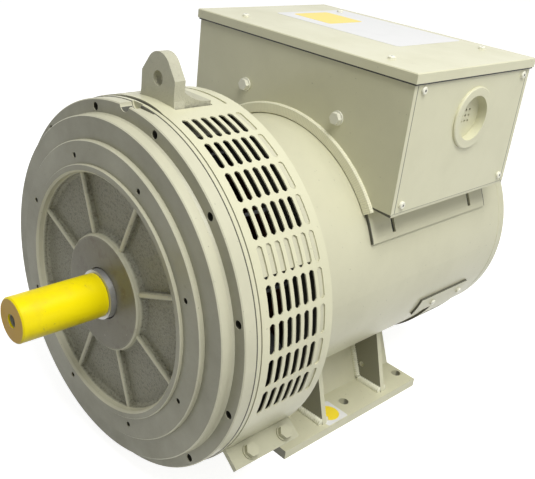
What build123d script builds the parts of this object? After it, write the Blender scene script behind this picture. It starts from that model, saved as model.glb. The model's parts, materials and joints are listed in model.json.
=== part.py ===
from build123d import *
import math
import os

# ---------------------------------------------------------------- driving dimensions (mm)
# Everything is drawn about the shaft line: +Y runs to the non-drive end, y = 0 is the
# engine-side flange face, z = 0 is the shaft line. `place` then moves it to the feet frame.
shaft_height = 280.0           # shaft line above the floor the feet stand on
foot_pitch_y = 153.0           # spacing of the foot holes along the shaft
face_to_feet = 374.0           # flange face to the middle pair of foot holes

# drive-end frame, SAE No. 1 housing size
flange_r = 276.5
flange_t = 19.2
spigot_in = 20.91
spigot_r = flange_r - spigot_in
spigot_len = 20.0
step_r = 222.5
step_face = 28.0
rim_r_out = 189.0
rim_r_in = 177.7
rim_face = 33.0
dish_floor = -14.0
dish_floor_t = 14.0
hub_r = 87.0
hub_face = 28.0
hub_bore_r = 39.0
back_pocket_r_in = 184.0
back_pocket_in = 36.5
back_pocket_r_out = flange_r - back_pocket_in
back_pocket_front = -8.0
bolt_edge = 11.4
bolt_circle_r = flange_r - bolt_edge
bolt_hole_r = 5.95
bolt_count = 12
tap_circle_r = 201.5
tap_hole_r = 4.25
tap_depth = 15.0
tap_count = 8
rib_count = 8
rib_w = 9.0
rib_face = 23.5
rib_crown = 3.0
notch_r = 11.0
notch_centre = flange_r + 1.5
notch_flat_z = flange_r - 4.0
notch_flat_x = 42.0

# ring between end frame and fan housing
spacer_proud = 1.0
spacer_w = 31.5
spacer_r = flange_r + spacer_proud
spacer_r_in = spacer_r - spacer_w
spacer_end = 27.4

# fan housing and its slotted band
cage_rim_w = 24.5
cage_r = flange_r
cage_r_in = cage_r - cage_rim_w
cage_front_t = 14.0
cage_rear = 158.8
cage_rear_t = 22.0
strut_depth = 14.0
strut_angle = 8.9
band_t = 2.0
slot_cols = 7
slot_first = 45.1
slot_pitch = 15.7
slot_w = 9.4
slot_len = 43.0
slot_corner = 3.0
slot_rows = 9
slot_row_first = 71.2
slot_row_pitch = 10.45
band_end_angle = -36.0
lip_w = 32.0
lip_t = 4.0
lip_y0 = 30.0
lip_y1 = 156.0
lip_bolt_ys = (65.0, 132.0)
gap_deep = 6.0
gap_chord = 75.0
gap_x = -26.0
gap_rear_y = (138.5, 143.0)
gap_rear_a = (81.0, 103.0)

# lifting lug
lug_half_w = 37.0
lug_top_r = 27.0
lug_top_z = cage_r + 67.5
lug_shoulder_z = cage_r + 35.5
lug_eye_z = cage_r + 31.5
lug_hole_r = 10.5
lug_y0 = 53.0
lug_y1 = 71.0
lug_rear = 118.0
lug_sweep_z = cage_r + 20.5
lug_sole = cage_r - 14.5
lug_window_top = cage_r + 23.5
lug_toe = 5.0

# stator frame
frame_r = 221.0
frame_wall = 10.0
lead_hole_half = 60.0
lead_hole_y = (385.0, 430.0)
frame_end = 687.0
core_y0 = 216.0
core_y1 = 470.0
core_bore_r = 140.0
winding_r_in = 146.0
winding_r_out = 188.0
winding_over = 52.0

# feet
foot_x_out = 202.0
foot_x_in = 112.0
foot_t = 16.0
foot_y0 = 193.0
foot_y1 = 542.0
foot_hole_x = 168.5
foot_hole_r = 9.0
web_top = (106.0, -196.0)
web_foot = (135.0, foot_t - shaft_height)
web_t = 12.0
gusset_t = 10.0
gusset_ys = (298.0, 457.0)
gusset_top = (158.0, -154.0)
gusset_foot = (192.0, foot_t - shaft_height)
gusset_hole = (139.0, -231.0)
gusset_hole_r = 5.0

# non-drive-end bracket and cover
nde_end = 712.0
nde_r_in = 203.0
nde_hub_r = 66.0
nde_hub_y0 = 676.0
nde_bore_r = 50.0
nde_arm_w = 34.0
nde_cover_t = 2.5
nde_cover_r = 213.0
nde_bolt_count = 12
nde_bolt_r = 206.0
nde_slot_len = 52.0
nde_slot_w = 9.0
nde_slot_pitch = 18.0
guard_y0 = 548.0
guard_y1 = 632.0
guard_tab_y0 = 490.0
guard_t = 4.0
guard_top_angle = -18.5
guard_tab_angle = -28.5
guard_screw_ys = (536.0, 619.0)
guard_screw_angle = -23.8

# shaft line
shaft_end = -165.0
shaft_ext_r = 30.0
shaft_shoulder = -26.0
de_seat_r = 32.5
de_seat_end = 25.0
collar_r = 38.0
collar_end = 60.0
core_seat_r = 42.0
core_seat_end = 556.0
exciter_seat_r = 34.0
exciter_seat_end = 646.0
nde_shoulder_r = 28.0
nde_seat_y = 680.0
nde_seat_r = 22.5
shaft_rear = 708.0
tap_end_r = 8.75
tap_end_depth = 42.0
key_w = 18.0
key_seat = 7.0
key_len = 110.0
key_y0 = -158.0
slinger_r = 37.0
slinger_front = -37.0

# protective sleeve on the shaft end
sleeve_r = 32.7
sleeve_clear = 0.3
sleeve_rear = -37.5
sleeve_front = -168.0
sleeve_hole_r = 10.0

# bearings
de_brg = dict(bore=32.5, out=70.0, y0=-8.0, width=33.0, ball=11.6, balls=8)
nde_brg = dict(bore=22.5, out=50.0, y0=680.0, width=25.0, ball=8.4, balls=8)
ring_t_ratio = 0.27
ball_clear = 0.3
cage_half_t = 2.2
cap_t = 9.0

# fan
fan_y0 = 50.0
fan_plate_t = 6.0
fan_depth = 84.0
fan_clear = 22.0
fan_r = cage_r_in - fan_clear
fan_eye_r = 132.0
fan_hub_r = 72.0
fan_hub_len = 34.0
fan_blades = 13
fan_blade_t = 5.0
fan_sweep = 24.0

# main rotor
rotor_r = 138.4
pole_w = 84.0
pole_shoe_w = 150.0
pole_shoe_t = 24.0
pole_root_r = 66.0
coil_w = 26.0
pole_count = 4

# exciter and rectifier
exc_y0 = 560.0
exc_y1 = 604.0
exc_rotor_r = 94.0
exc_gap = 1.0
exc_stator_r = 150.0
exc_coil_over = 12.0
exc_arm_r = 142.0
exc_arm_w = 26.0
rect_y0 = 622.0
rect_t = 6.0
rect_r = 86.0
diode_circle_r = 66.0
diode_r = 9.0
diode_h = 16.0
diode_count = 6

# terminal box
box_half_x = 232.0
box_y0 = 316.0
box_y1 = 632.0
box_bottom = 137.0
box_top = 350.4
sheet = 2.5
lid_over = 4.3
lid_lip = 15.0
flange_in = 44.0
arch_r = 226.0
trim_r_in = 222.0
trim_r_out = 240.0
trim_front = 311.0
trim_leg = 3.6
trim_a0 = 33.0
box_bolt_x = 104.0
box_bolt_z = 250.0
side_screw_ys = (338.0, 612.0)
side_screw_zs = (150.0, 324.0)
lid_screw_x = 158.0
lid_screw_ys = (352.0, 596.0)
plug_y = 483.0
plug_z = 267.0
plug_r = 49.0
plug_cup_r = 38.0
plug_depth = 14.0
plug_flange_t = 4.0
plug_wall = 2.5
saddle_t = 3.0
saddle_a0 = 21.0
saddle_slot_ys = (334.0, 545.0)
saddle_slot_w = 7.0
saddle_slot_len = 26.0
saddle_slot_at = 0.62
board_half_x = 110.0
board_y0 = 385.0
board_y1 = 525.0
board_z = 240.0
board_t = 12.0
stud_r = 5.0
stud_h = 34.0
stud_nut_r = 9.0
stud_xs = (-75.0, -25.0, 25.0, 75.0)
stud_rows = (35.0, 90.0)
avr_w = 130.0
avr_low = 250.0
avr_h = 84.0
avr_t = 34.0

m10_head_r = 9.8
m10_head_h = 6.6
m10_washer_r = 11.5
m10_washer_t = 2.0
m12_head_r = 10.9
m12_head_h = 7.6
m12_washer_r = 12.0
m12_washer_t = 2.4
m6_head_r = 5.8
m6_head_h = 4.2
m6_washer_r = 6.6
m6_washer_t = 1.4
screw_head_r = 5.8
screw_head_h = 4.0
screw_shank_r = 2.9


# ---------------------------------------------------------------- small helpers
def turned(points, start=0.0, sweep=360.0):
    """Solid of revolution about the shaft line from (radius, y) points."""
    face = make_face(Polyline(*[(r, y) for r, y in points], close=True))
    body = revolve(face, Axis.Y, sweep)
    return Rot(0, -start, 0) * body if start else body


def ring(r_in, r_out, y_a, y_b):
    return turned([(r_in, y_a), (r_out, y_a), (r_out, y_b), (r_in, y_b)])


def sector(r_in, r_out, y_a, y_b, a_lo, a_hi):
    """Ring piece between two angles measured from +X towards +Z."""
    face = make_face(Polyline((r_in, y_a), (r_out, y_a), (r_out, y_b), (r_in, y_b), close=True))
    return Rot(0, -a_hi, 0) * revolve(face, Axis.Y, a_hi - a_lo)


def rod_y(r, y_a, y_b, x=0.0, z=0.0):
    return Pos(x, (y_a + y_b) / 2, z) * Rot(90, 0, 0) * Cylinder(r, y_b - y_a)


def rod_x(r, x_a, x_b, y=0.0, z=0.0):
    return Pos((x_a + x_b) / 2, y, z) * Rot(0, 90, 0) * Cylinder(r, x_b - x_a)


def rod_z(r, z_a, z_b, x=0.0, y=0.0):
    return Pos(x, y, (z_a + z_b) / 2) * Cylinder(r, z_b - z_a)


def block(x_a, x_b, y_a, y_b, z_a, z_b):
    size = (x_b - x_a, y_b - y_a, z_b - z_a)
    return Pos((x_a + x_b) / 2, (y_a + y_b) / 2, (z_a + z_b) / 2) * Box(*size)


def polar(r, deg):
    return r * math.cos(math.radians(deg)), r * math.sin(math.radians(deg))


def slab_y(points, y_a, y_b):
    """Prism along Y from (x, z) points."""
    face = make_face(Polyline(*[(x, 0, z) for x, z in points], close=True))
    solid = extrude(face, amount=y_b - y_a, dir=(0, 1, 0))
    return Pos(0, y_a, 0) * solid


def hexagon(r, h, plane):
    return extrude(plane * RegularPolygon(r, 6), amount=h)


def hex_bolt(plane, head_r, head_h, washer_r, washer_t, shank_r, reach):
    """Bolt seated on `plane`, head along its normal, shank back through the joint."""
    washer = extrude(plane * Circle(washer_r), amount=washer_t)
    head = hexagon(head_r, head_h, plane.offset(washer_t))
    shank = extrude(plane * Circle(shank_r), amount=-reach)
    return washer + head + shank


def pan_screw(plane, reach):
    head = extrude(plane * Circle(screw_head_r), amount=screw_head_h)
    rim = head.faces().filter_by(lambda f: f.normal_at().dot(plane.z_dir) > 0.99).edges()
    return chamfer(rim, 1.2) + extrude(plane * Circle(screw_shank_r), amount=-reach)


def radial_plane(deg, r, y):
    x, z = polar(r, deg)
    cx, cz = polar(1.0, deg)
    return Plane(origin=(x, y, z), x_dir=(0, 1, 0), z_dir=(cx, 0, cz))


# ---------------------------------------------------------------- housing pieces
def de_endframe():
    brg_out, brg_y0 = de_brg["out"], de_brg["y0"]
    brg_end = brg_y0 + de_brg["width"]
    floor_back = dish_floor + dish_floor_t
    profile = [
        (hub_bore_r, -hub_face), (hub_r - 2, -hub_face), (hub_r, -hub_face + 2),
        (hub_r + 1.5, dish_floor - 4), (hub_r + 5.5, dish_floor),
        (rim_r_in - 7, dish_floor), (rim_r_in - 3, dish_floor - 3),
        (rim_r_in, -rim_face + 3), (rim_r_in + 3, -rim_face),
        (rim_r_out - 1, -rim_face), (rim_r_out, -rim_face + 1), (rim_r_out, -step_face),
        (step_r - 1.5, -step_face), (step_r, -step_face + 1.5), (step_r, -spigot_len),
        (spigot_r - 1.5, -spigot_len), (spigot_r, -spigot_len + 1.5), (spigot_r, -4.0),
        (spigot_r + 1.6, 0.0), (flange_r - 1.5, 0.0), (flange_r, 1.5),
        (flange_r, flange_t), (back_pocket_r_out, flange_t),
        (back_pocket_r_out, back_pocket_front), (back_pocket_r_in, back_pocket_front),
        (back_pocket_r_in - 4, floor_back), (hub_r, floor_back),
        (hub_r, brg_end), (brg_out, brg_end), (brg_out, brg_y0), (hub_bore_r, brg_y0),
    ]
    body = turned(profile)
    ribs = []
    for i in range(rib_count):
        rib = block(hub_r - 6, rim_r_in + 3, -rib_face, dish_floor + 2, -rib_w / 2, rib_w / 2)
        crest = rib.faces().sort_by(Axis.Y)[0].edges().filter_by(Axis.X)
        rib = chamfer(crest, rib_crown)
        ribs.append(Rot(0, -(22.5 + i * 360 / rib_count), 0) * rib)
    body = body.fuse(*ribs)
    cuts = []
    for i in range(bolt_count):
        x, z = polar(bolt_circle_r, 15 + i * 360 / bolt_count)
        cuts.append(rod_y(bolt_hole_r, -1, flange_t + 1, x, z))
    for i in range(tap_count):
        x, z = polar(tap_circle_r, 22.5 + i * 360 / tap_count)
        cuts.append(rod_y(tap_hole_r, -step_face - 1, -step_face + tap_depth, x, z))
    cuts.append(rod_y(notch_r, -1, flange_t + 1, 0, notch_centre))
    cuts.append(block(0, notch_flat_x, 4, flange_t + 1, notch_flat_z, notch_centre + 5))
    return body - cuts


def spacer_ring():
    body = turned([(spacer_r_in, flange_t), (spacer_r - 1, flange_t), (spacer_r, flange_t + 1),
                   (spacer_r, spacer_end - 1), (spacer_r - 1, spacer_end), (spacer_r_in, spacer_end)])
    cuts = []
    for i in range(bolt_count):
        x, z = polar(bolt_circle_r, 15 + i * 360 / bolt_count)
        cuts.append(rod_y(bolt_hole_r, flange_t - 1, spacer_end + 1, x, z))
    cuts.append(rod_y(notch_r, flange_t - 1, flange_t + 4, 0, notch_centre))
    return body - cuts


def lifting_lug():
    """Cast eye: flat front, narrowing rounded head, back swept down to a long foot."""
    crown = lug_top_z - lug_top_r
    head = rod_y(lug_top_r, lug_y0, lug_y1, 0, crown)
    a = math.acos(lug_top_r / math.hypot(lug_half_w, crown - lug_shoulder_z)) - math.atan2(
        crown - lug_shoulder_z, lug_half_w)
    tx, tz = lug_top_r * math.cos(a), crown + lug_top_r * math.sin(a)
    plate = slab_y([(-lug_half_w - lug_toe, lug_sole), (lug_half_w + lug_toe, lug_sole),
                    (lug_half_w, cage_r + 8), (lug_half_w, lug_shoulder_z), (tx, tz), (-tx, tz),
                    (-lug_half_w, lug_shoulder_z), (-lug_half_w, cage_r + 8)], lug_y0, lug_y1)
    foot_top = cage_r + 4
    start, low = (lug_y1 - 1, lug_sweep_z), (lug_rear, foot_top)
    curve = ThreePointArc((0, *start), (0, lug_y1 + 11, foot_top + 8), (0, *low))
    rest = Polyline((0, *low), (0, lug_rear, lug_sole), (0, lug_y1 - 1, lug_sole), (0, *start))
    sweep = extrude(make_face(Curve() + [curve, rest]), amount=lug_half_w, both=True, dir=(1, 0, 0))
    hole = rod_y(lug_hole_r, lug_y0 - 1, lug_y1 + 1, 0, lug_eye_z)
    return head + plate + sweep - hole


def fan_cage():
    front_end = spacer_end + cage_front_t
    front = ring(cage_r_in, cage_r, spacer_end, front_end)
    rear = ring(frame_r - frame_wall, cage_r, cage_rear - cage_rear_t, cage_rear)
    pieces = [front, rear]
    for i in range(6):
        mid = 30 + i * 60
        if i == 1:
            pieces.append(sector(cage_r_in + 1, lug_sole - 2, front_end, cage_rear - cage_rear_t,
                                 mid - 2 * strut_angle, mid + 2 * strut_angle))
            pieces.append(block(-lug_half_w - lug_toe, lug_half_w + lug_toe, lug_y0, lug_rear,
                                lug_sole - 6, lug_sole))
            continue
        pieces.append(sector(cage_r - strut_depth, cage_r - 0.5, front_end, cage_rear - cage_rear_t,
                             mid - strut_angle / 2, mid + strut_angle / 2))
    body = pieces[0].fuse(*pieces[1:])
    cuts = []
    for i in range(bolt_count):
        x, z = polar(bolt_circle_r, 15 + i * 360 / bolt_count)
        cuts.append(rod_y(bolt_hole_r, spacer_end - 1, front_end + 1, x, z))
    cuts.append(crescent(lug_sole - 5))
    return body - cuts


def crescent(z_low):
    """Cutter for the lens-shaped gap between the spacer ring and the band, ahead of the lug."""
    r = (gap_chord ** 2 + gap_deep ** 2) / (2 * gap_deep)
    return rod_z(r, z_low, cage_r + 20, gap_x, spacer_end + gap_deep - r) - block(
        -cage_r, cage_r, -2 * r, spacer_end, z_low - 1, cage_r + 21)


def band_slots(angles):
    cutters = []
    half_l, half_w = slot_len / 2, slot_w / 2
    c = slot_corner
    outline = [(half_w, half_l - c), (half_w - c, half_l), (-half_w + c, half_l), (-half_w, half_l - c),
               (-half_w, -half_l + c), (-half_w + c, -half_l), (half_w - c, -half_l), (half_w, -half_l + c)]
    for deg in angles:
        for col in range(slot_cols):
            plane = radial_plane(deg, cage_r - 5, slot_first + col * slot_pitch)
            cutters.append(extrude(plane * make_face(Polyline(*outline, close=True)), amount=12))
    return cutters


def lip(angle, side):
    """Outward flange strip along one end of the band; side -1 lies below the joint plane."""
    y_len = lip_y1 - lip_y0
    r0 = cage_r
    r1 = cage_r + band_t + lip_w
    strip = block(r0, r1, lip_y0, lip_y0 + y_len, 0, lip_t) if side > 0 else \
        block(r0, r1, lip_y0, lip_y0 + y_len, -lip_t, 0)
    for y in lip_bolt_ys:
        strip = strip - rod_z(6.3, -lip_t - 1, lip_t + 1, cage_r + band_t + lip_w * 0.55, y)
    return Rot(0, -angle, 0) * strip


def air_screen():
    band = sector(cage_r, cage_r + band_t, spacer_end, cage_rear, band_end_angle, 180 - band_end_angle)
    rows = [slot_row_first - i * slot_row_pitch for i in range(slot_rows)]
    angles = rows + [180 - a for a in rows]
    cuts = band_slots(angles)
    cuts.append(crescent(lug_sole))
    cuts.append(sector(cage_r - 3, cage_r + band_t + 3, *gap_rear_y, *gap_rear_a))
    cuts.append(block(-lug_half_w - lug_toe, lug_half_w + lug_toe, lug_y0, lug_rear, lug_sole - 6,
                      lug_window_top))
    band = band - cuts
    ends = [lip(band_end_angle, 1), mirror(lip(band_end_angle, 1), Plane.YZ)]
    return band.fuse(*ends)


def screen_lower():
    band = sector(cage_r, cage_r + band_t, spacer_end, cage_rear, -180 - band_end_angle, band_end_angle)
    ends = [lip(band_end_angle, -1), mirror(lip(band_end_angle, -1), Plane.YZ)]
    return band.fuse(*ends)


def screen_bolts():
    out = []
    cx, cz = polar(1.0, band_end_angle + 90)
    for y in lip_bolt_ys:
        r = cage_r + band_t + lip_w * 0.55
        x0, z0 = polar(r, band_end_angle)
        top = Plane(origin=(x0 + cx * lip_t, y, z0 + cz * lip_t), x_dir=(0, 1, 0), z_dir=(cx, 0, cz))
        bolt = hex_bolt(top, m12_head_r, m12_head_h, m12_washer_r, m12_washer_t, 6.0,
                        2 * lip_t + m12_head_h + 3)
        nut_plane = Plane(origin=(x0 - cx * lip_t, y, z0 - cz * lip_t), x_dir=(0, 1, 0),
                          z_dir=(-cx, 0, -cz))
        bolt = bolt + hexagon(m12_head_r, m12_head_h, nut_plane)
        out += [bolt, mirror(bolt, Plane.YZ)]
    return Compound(children=out)


def stator_frame():
    body = ring(frame_r - frame_wall, frame_r, cage_rear, frame_end)
    lead_hole = block(-lead_hole_half, lead_hole_half, *lead_hole_y, 150, frame_r + 39)
    inlet = block(-260, 260, guard_y0 + 8, guard_y1 - 8, -190, -90)
    return body - [lead_hole, inlet]


def foot():
    plate = block(foot_x_in, foot_x_out, foot_y0, foot_y1, -shaft_height, -shaft_height + foot_t)
    dx, dz = web_foot[0] - web_top[0], web_foot[1] - web_top[1]
    n = math.hypot(dx, dz)
    ux, uz = dx / n, dz / n
    nx, nz = uz, -ux
    top = (web_top[0] - ux * 14, web_top[1] - uz * 14)
    web = slab_y([top, web_foot, (web_foot[0] + nx * web_t, web_foot[1]),
                  (top[0] + nx * web_t, top[1] + nz * web_t)], foot_y0, foot_y1)
    pieces = [plate, web]
    for y in gusset_ys:
        g = slab_y([(gusset_top[0] - 6, gusset_top[1] + 6), gusset_top, gusset_foot, web_foot,
                    (web_top[0] - 4, web_top[1] + 10)], y - gusset_t / 2, y + gusset_t / 2)
        g = g - rod_y(gusset_hole_r, y - gusset_t, y + gusset_t, *gusset_hole)
        pieces.append(g)
    body = pieces[0].fuse(*pieces[1:])
    cuts = [rod_y(frame_r, foot_y0 - 5, foot_y1 + 5)]
    for k in (-1, 0, 1):
        cuts.append(rod_z(foot_hole_r, -shaft_height - 1, -shaft_height + foot_t + 1,
                          foot_hole_x, face_to_feet + k * foot_pitch_y))
    return body - cuts


def nde_bracket():
    rim = turned([(nde_r_in, frame_end), (frame_r - 1.2, frame_end), (frame_r - 1.2, frame_end + 2),
                  (frame_r, frame_end + 3.2), (frame_r, nde_end - 6), (frame_r - 6, nde_end),
                  (nde_r_in, nde_end)])
    locate = ring(nde_r_in, frame_r - frame_wall, frame_end - 8, frame_end)
    hub = ring(nde_bore_r, nde_hub_r, nde_hub_y0, nde_end - 2)
    stop = ring(nde_seat_r + 5, nde_bore_r, nde_brg["y0"] + nde_brg["width"], nde_end - 2)
    pieces = [rim, locate, hub, stop]
    for i in range(4):
        a = 45 + 90 * i
        arm = block(nde_hub_r - 5, nde_r_in + 4, frame_end - 4, nde_end - 4, -nde_arm_w / 2, nde_arm_w / 2)
        post = block(exc_arm_r - 9, exc_arm_r + 9, exc_y1, nde_end - 4, -exc_arm_w / 2, exc_arm_w / 2)
        pieces += [Rot(0, -a, 0) * arm, Rot(0, -a, 0) * post]
    return pieces[0].fuse(*pieces[1:])


def nde_cover():
    body = rod_y(nde_cover_r, nde_end, nde_end + nde_cover_t)
    cuts = []
    for row in range(-4, 5):
        for col in (-1, 0, 1):
            x, z = col * (nde_slot_len + 12), row * nde_slot_pitch * 1.5
            if math.hypot(abs(x) + nde_slot_len / 2, z) < frame_r - 24:
                cuts.append(block(x - nde_slot_len / 2, x + nde_slot_len / 2, nde_end - 1,
                                  nde_end + nde_cover_t + 1, z - nde_slot_w / 2, z + nde_slot_w / 2))
    for i in range(nde_bolt_count):
        x, z = polar(nde_bolt_r, (i + 0.5) * 360 / nde_bolt_count)
        cuts.append(rod_y(3.0, nde_end - 1, nde_end + nde_cover_t + 1, x, z))
    return body - cuts


def nde_screws():
    out = []
    for i in range(nde_bolt_count):
        x, z = polar(nde_bolt_r, (i + 0.5) * 360 / nde_bolt_count)
        plane = Plane(origin=(x, nde_end + nde_cover_t, z), x_dir=(1, 0, 0), z_dir=(0, 1, 0))
        out.append(hex_bolt(plane, m6_head_r, m6_head_h, m6_washer_r, m6_washer_t, 3.0, nde_cover_t))
    return Compound(children=out)


def inlet_guard():
    body = sector(frame_r, frame_r + guard_t, guard_y0, guard_y1, -180 - guard_top_angle, guard_top_angle)
    tab = sector(frame_r, frame_r + guard_t, guard_tab_y0, guard_y0 + 2, guard_tab_angle, guard_top_angle)
    cuts = []
    for y in guard_screw_ys:
        hole = extrude(radial_plane(guard_screw_angle, frame_r - 2, y) * Circle(screw_shank_r), amount=10)
        cuts += [hole, mirror(hole, Plane.YZ)]
    for deg in (-40, -52, -64, -116, -128, -140):
        for y in (570, 590, 610):
            plane = radial_plane(deg, frame_r - 2, y)
            cuts.append(extrude(plane * Rectangle(8, 30), amount=10))
    return body.fuse(tab, mirror(tab, Plane.YZ)) - cuts


def guard_screws():
    out = []
    for y in guard_screw_ys:
        s = pan_screw(radial_plane(guard_screw_angle, frame_r + guard_t, y), guard_t)
        out += [s, mirror(s, Plane.YZ)]
    return Compound(children=out)


def stator_core():
    return ring(core_bore_r, frame_r - frame_wall, core_y0, core_y1)


def stator_winding():
    ends = []
    for y_core, d in ((core_y0, -1), (core_y1, 1)):
        ends.append(turned([(winding_r_in, y_core), (winding_r_out - 12, y_core),
                            (winding_r_out, y_core + d * 18),
                            (winding_r_out, y_core + d * (winding_over - 8)),
                            (winding_r_out - 8, y_core + d * winding_over),
                            (winding_r_in + 10, y_core + d * winding_over),
                            (winding_r_in, y_core + d * 40)]))
    return Compound(children=ends)


# ---------------------------------------------------------------- terminal box
def end_panel(front):
    """Front or rear panel with turned-in sides and a turned-in top."""
    top = box_top - sheet
    if front:
        y_a, y_b = box_y0, box_y0 + sheet
        side_y = (y_b, y_b + 26)
        top_y = (y_b, y_b + flange_in)
    else:
        y_a, y_b = box_y1 - sheet, box_y1
        side_y = (y_a - 26, y_a)
        top_y = (y_a - flange_in, y_a)
    x_in = box_half_x - sheet
    panel = block(-box_half_x, box_half_x, y_a, y_b, box_bottom, top)
    ret = block(x_in - sheet, x_in, side_y[0], side_y[1], box_bottom, top)
    top_ret = block(-x_in, x_in, top_y[0], top_y[1], top - sheet, top)
    body = panel.fuse(ret, mirror(ret, Plane.YZ), top_ret)
    cuts = [rod_y(arch_r, y_a - 1, y_b + 1)]
    screw_y = side_screw_ys[0] if front else side_screw_ys[1]
    for z in side_screw_zs:
        cuts.append(rod_x(screw_shank_r, -box_half_x, box_half_x, screw_y, z))
    lid_y = lid_screw_ys[0] if front else lid_screw_ys[1]
    for x in (-lid_screw_x, lid_screw_x):
        cuts.append(rod_z(screw_shank_r, top - sheet - 1, top + 1, x, lid_y))
        if front:
            cuts.append(rod_y(5.2, y_a - 1, y_b + 1, math.copysign(box_bolt_x, x), box_bolt_z))
    return body - cuts


def side_panel():
    body = block(box_half_x - sheet, box_half_x, box_y0 + sheet, box_y1 - sheet, box_bottom,
                 box_top - sheet)
    cuts = []
    for y in side_screw_ys:
        for z in side_screw_zs:
            cuts.append(rod_x(screw_shank_r, box_half_x - sheet - 1, box_half_x + 1, y, z))
    return body - cuts


def box_side_right():
    return side_panel() - rod_x(plug_cup_r, box_half_x - sheet - 1, box_half_x + 1, plug_y, plug_z)


def box_side_left():
    return mirror(side_panel(), Plane.YZ)


def box_lid():
    x = box_half_x + lid_over
    y_a, y_b = box_y0 - lid_over, box_y1 + lid_over
    outer = block(-x, x, y_a, y_b, box_top - lid_lip, box_top)
    top_edges = outer.faces().sort_by(Axis.Z)[-1].edges()
    outer = chamfer(top_edges, 1.4)
    inner = block(-x + sheet, x - sheet, y_a + sheet, y_b - sheet, box_top - lid_lip - 1, box_top - sheet)
    cuts = [inner]
    for y in lid_screw_ys:
        for sx in (-lid_screw_x, lid_screw_x):
            cuts.append(rod_z(screw_shank_r, box_top - sheet - 1, box_top + 1, sx, y))
    return outer - cuts


def box_saddle():
    """Inclined skirts that close the box down to the stator frame on both sides."""
    foot_x, foot_z = polar(frame_r, saddle_a0)
    dx, dz = box_half_x - foot_x, box_bottom - foot_z
    n = math.hypot(dx, dz)
    inx, inz = -dz / n * saddle_t, dx / n * saddle_t
    side = slab_y([(foot_x, foot_z - 1), (box_half_x, box_bottom),
                   (box_half_x + inx, box_bottom), (foot_x + inx - 2, foot_z)], box_y0, box_y1)
    side = side - rod_y(frame_r, box_y0 - 1, box_y1 + 1)
    mid_x, mid_z = foot_x + dx * saddle_slot_at, foot_z + dz * saddle_slot_at
    cuts = []
    for y in saddle_slot_ys:
        plane = Plane(origin=(mid_x, y, mid_z), x_dir=(0, 1, 0), z_dir=(dz / n, 0, -dx / n))
        cuts.append(extrude(plane * SlotOverall(saddle_slot_len, saddle_slot_w, rotation=90),
                            amount=3 * saddle_t, both=True))
    side = side - cuts
    return Compound(children=[side, mirror(side, Plane.YZ)])


def arch_trim(front):
    d = trim_leg
    if front:
        y0, y1, y2, y3 = trim_front, box_y0, box_y0 + sheet, box_y0 + sheet + d
    else:
        y0, y1, y2, y3 = box_y1 - sheet - d, box_y1 - sheet, box_y1, box_y1 + 5
    pts = [(trim_r_in, y0 + 1), (trim_r_in + 1, y0), (trim_r_out - 2, y0), (trim_r_out, y0 + 2),
           (trim_r_out, y1), (arch_r, y1), (arch_r, y2), (trim_r_out - 4, y2), (trim_r_out - 4, y3),
           (trim_r_in, y3)]
    face = make_face(Polyline(*pts, close=True))
    return Rot(0, -(180 - trim_a0), 0) * revolve(face, Axis.Y, 180 - 2 * trim_a0)


def box_bolts():
    out = []
    for x in (-box_bolt_x, box_bolt_x):
        plane = Plane(origin=(x, box_y0, box_bolt_z), x_dir=(1, 0, 0), z_dir=(0, -1, 0))
        bolt = hex_bolt(plane, m10_head_r, m10_head_h, m10_washer_r, m10_washer_t, 5.0, 14)
        nut = Plane(origin=(x, box_y0 + sheet, box_bolt_z), x_dir=(1, 0, 0), z_dir=(0, 1, 0))
        out.append(bolt + hexagon(m10_head_r, m10_head_h, nut))
    return Compound(children=out)


def side_screws():
    out = []
    for y in side_screw_ys:
        for z in side_screw_zs:
            plane = Plane(origin=(box_half_x, y, z), x_dir=(0, 1, 0), z_dir=(1, 0, 0))
            s = pan_screw(plane, 2 * sheet + 3)
            out += [s, mirror(s, Plane.YZ)]
    return Compound(children=out)


def lid_screws():
    out = []
    for y in lid_screw_ys:
        for x in (-lid_screw_x, lid_screw_x):
            plane = Plane(origin=(x, y, box_top), x_dir=(1, 0, 0), z_dir=(0, 0, 1))
            out.append(pan_screw(plane, 2 * sheet + 3))
    return Compound(children=out)


def entry_plug():
    x = box_half_x
    rim = rod_x(plug_r, x, x + plug_flange_t, plug_y, plug_z)
    rim = chamfer(rim.faces().sort_by(Axis.X)[-1].edges(), 1.5)
    barrel = rod_x(plug_cup_r, x - plug_depth, x, plug_y, plug_z)
    cup = rod_x(plug_cup_r - plug_wall, x - plug_depth + plug_wall, x + plug_flange_t + 1, plug_y, plug_z)
    cuts = [cup]
    for dy in (-1, 0, 1):
        for dz in (-1, 0, 1):
            cuts.append(rod_x(2.2, x - plug_depth - 1, x, plug_y + 9 * dy, plug_z + 9 * dz))
    return rim + barrel - cuts


def terminal_board():
    board = block(-board_half_x, board_half_x, board_y0, board_y1, board_z, board_z + board_t)
    legs = []
    for x in (-board_half_x + 14, board_half_x - 14):
        for y in (board_y0 + 62, board_y1 - 12):
            legs.append(block(x - 9, x + 9, y - 9, y + 9, 150, board_z))
    body = board.fuse(*legs)
    holes = [rod_z(stud_r, board_z - 1, board_z + board_t + 1, x, y) for x, y in stud_points()]
    return body - ([rod_y(frame_r, board_y0 - 1, board_y1 + 1)] + holes)


def stud_points():
    return [(x, board_y0 + row) for x in stud_xs for row in stud_rows]


def terminal_studs():
    out = []
    for x, y in stud_points():
        stud = rod_z(stud_r, board_z, board_z + board_t + stud_h, x, y)
        top = Plane(origin=(x, y, board_z + board_t), x_dir=(1, 0, 0), z_dir=(0, 0, 1))
        out.append(stud + hexagon(stud_nut_r, 8.0, top))
    return Compound(children=out)


def voltage_regulator():
    y_b = box_y1 - sheet
    case = block(-avr_w / 2, avr_w / 2, y_b - avr_t, y_b, avr_low, avr_low + avr_h)
    return chamfer(case.faces().sort_by(Axis.Y)[0].edges(), 3.0)


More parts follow.
